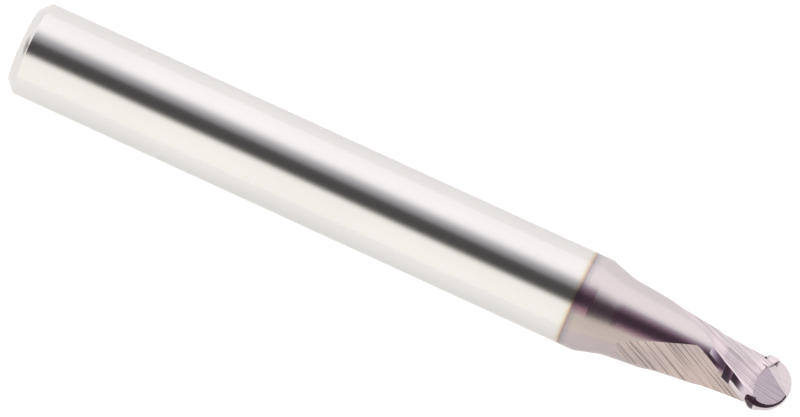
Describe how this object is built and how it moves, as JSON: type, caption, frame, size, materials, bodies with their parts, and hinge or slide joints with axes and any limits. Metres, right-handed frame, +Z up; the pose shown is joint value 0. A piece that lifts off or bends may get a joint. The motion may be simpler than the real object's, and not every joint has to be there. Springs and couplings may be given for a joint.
{
  "type": "ball nose end mill",
  "caption": "Solid carbide ball-nose end mill: bare ground cylindrical shank, conical shoulder and slim neck, short helical flutes and a coated cutting end.",
  "frame": {"origin": "centre of the shank's flat back face", "axes": "+X along the tool's axis towards the ball tip, +Z up with the tool lying on its side"},
  "size_m": [0.051, 0.006, 0.006],
  "materials": {
    "ground_carbide": "cylindrically ground and polished, bright",
    "coated_carbide": "ground flutes under a thin violet-grey hard film"
  },
  "bodies": {
    "root": {"shank": "ground_carbide", "cutting_head": "coated_carbide"}
  },
  "joints": []
}
